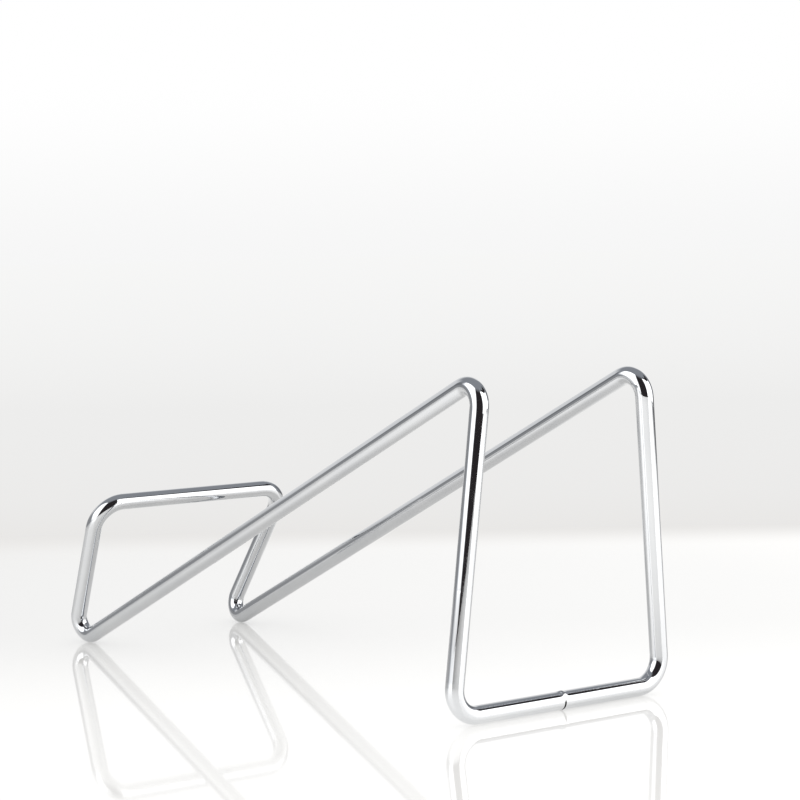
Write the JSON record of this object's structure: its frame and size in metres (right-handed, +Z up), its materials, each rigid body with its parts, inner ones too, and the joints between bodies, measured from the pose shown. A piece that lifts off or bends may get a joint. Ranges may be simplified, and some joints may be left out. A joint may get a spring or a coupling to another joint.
{
  "type": "wine rack",
  "caption": "Tabletop rack for a single bottle: round chromed rod bent into a closed loop, with a wide front frame, two sloping rails and a low rear stop bar.",
  "frame": {"origin": "on the table, at the middle of the rack's outline in plan (bounding box bottom centre)", "axes": "+Z up from the table; the foot bar and the bottle's neck are toward -Y, the rear stop bar is toward +Y; the rack is mirror-symmetric about X = 0 and left is -X"},
  "size_m": [0.0784, 0.199, 0.0902],
  "materials": {
    "chrome_rod": "bright decorative chrome plating on drawn steel rod, mirror smooth with faint drawing lines",
    "weld": "dressed butt weld under the plating, duller than the rod, with a fine dark seam"
  },
  "bodies": {
    "root": {"foot_bar_left": "chrome_rod", "foot_bar_right": "chrome_rod", "butt_weld": "weld", "foot_bend_left": "chrome_rod", "foot_bend_right": "chrome_rod", "front_upright_left": "chrome_rod", "front_upright_right": "chrome_rod", "top_bend_left": "chrome_rod", "top_bend_right": "chrome_rod", "rail_left": "chrome_rod", "rail_right": "chrome_rod", "heel_bend_left": "chrome_rod", "heel_bend_right": "chrome_rod", "rear_upright_left": "chrome_rod", "rear_upright_right": "chrome_rod", "stop_bend_left": "chrome_rod", "stop_bend_right": "chrome_rod", "stop_bar": "chrome_rod"}
  },
  "joints": []
}
